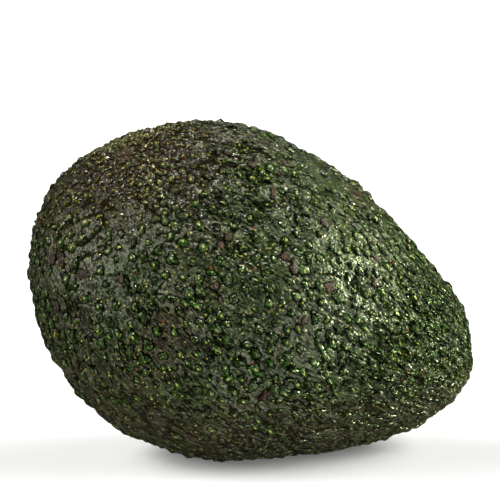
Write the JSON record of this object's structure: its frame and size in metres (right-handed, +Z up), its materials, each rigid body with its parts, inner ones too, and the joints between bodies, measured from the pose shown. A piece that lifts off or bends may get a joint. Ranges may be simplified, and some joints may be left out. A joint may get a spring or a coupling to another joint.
{
  "type": "avocado",
  "caption": "Whole avocado with dark green pebbled skin, lying on its side with the stem end low and a dried stem button in its dimple.",
  "frame": {"origin": "on the surface the fruit rests on, under the middle of its bounding box", "axes": "+X towards the narrow stem end, which droops about 21 degrees, +Y to the side the stem end turns to, +Z up"},
  "size_m": [0.0946, 0.0704, 0.0713],
  "materials": {
    "skin": "dark green pebbled rind with a waxy satin sheen",
    "stem": "dry, matt, greyish brown cork"
  },
  "bodies": {
    "root": {"fruit": "skin", "stem_button": "stem"}
  },
  "joints": []
}
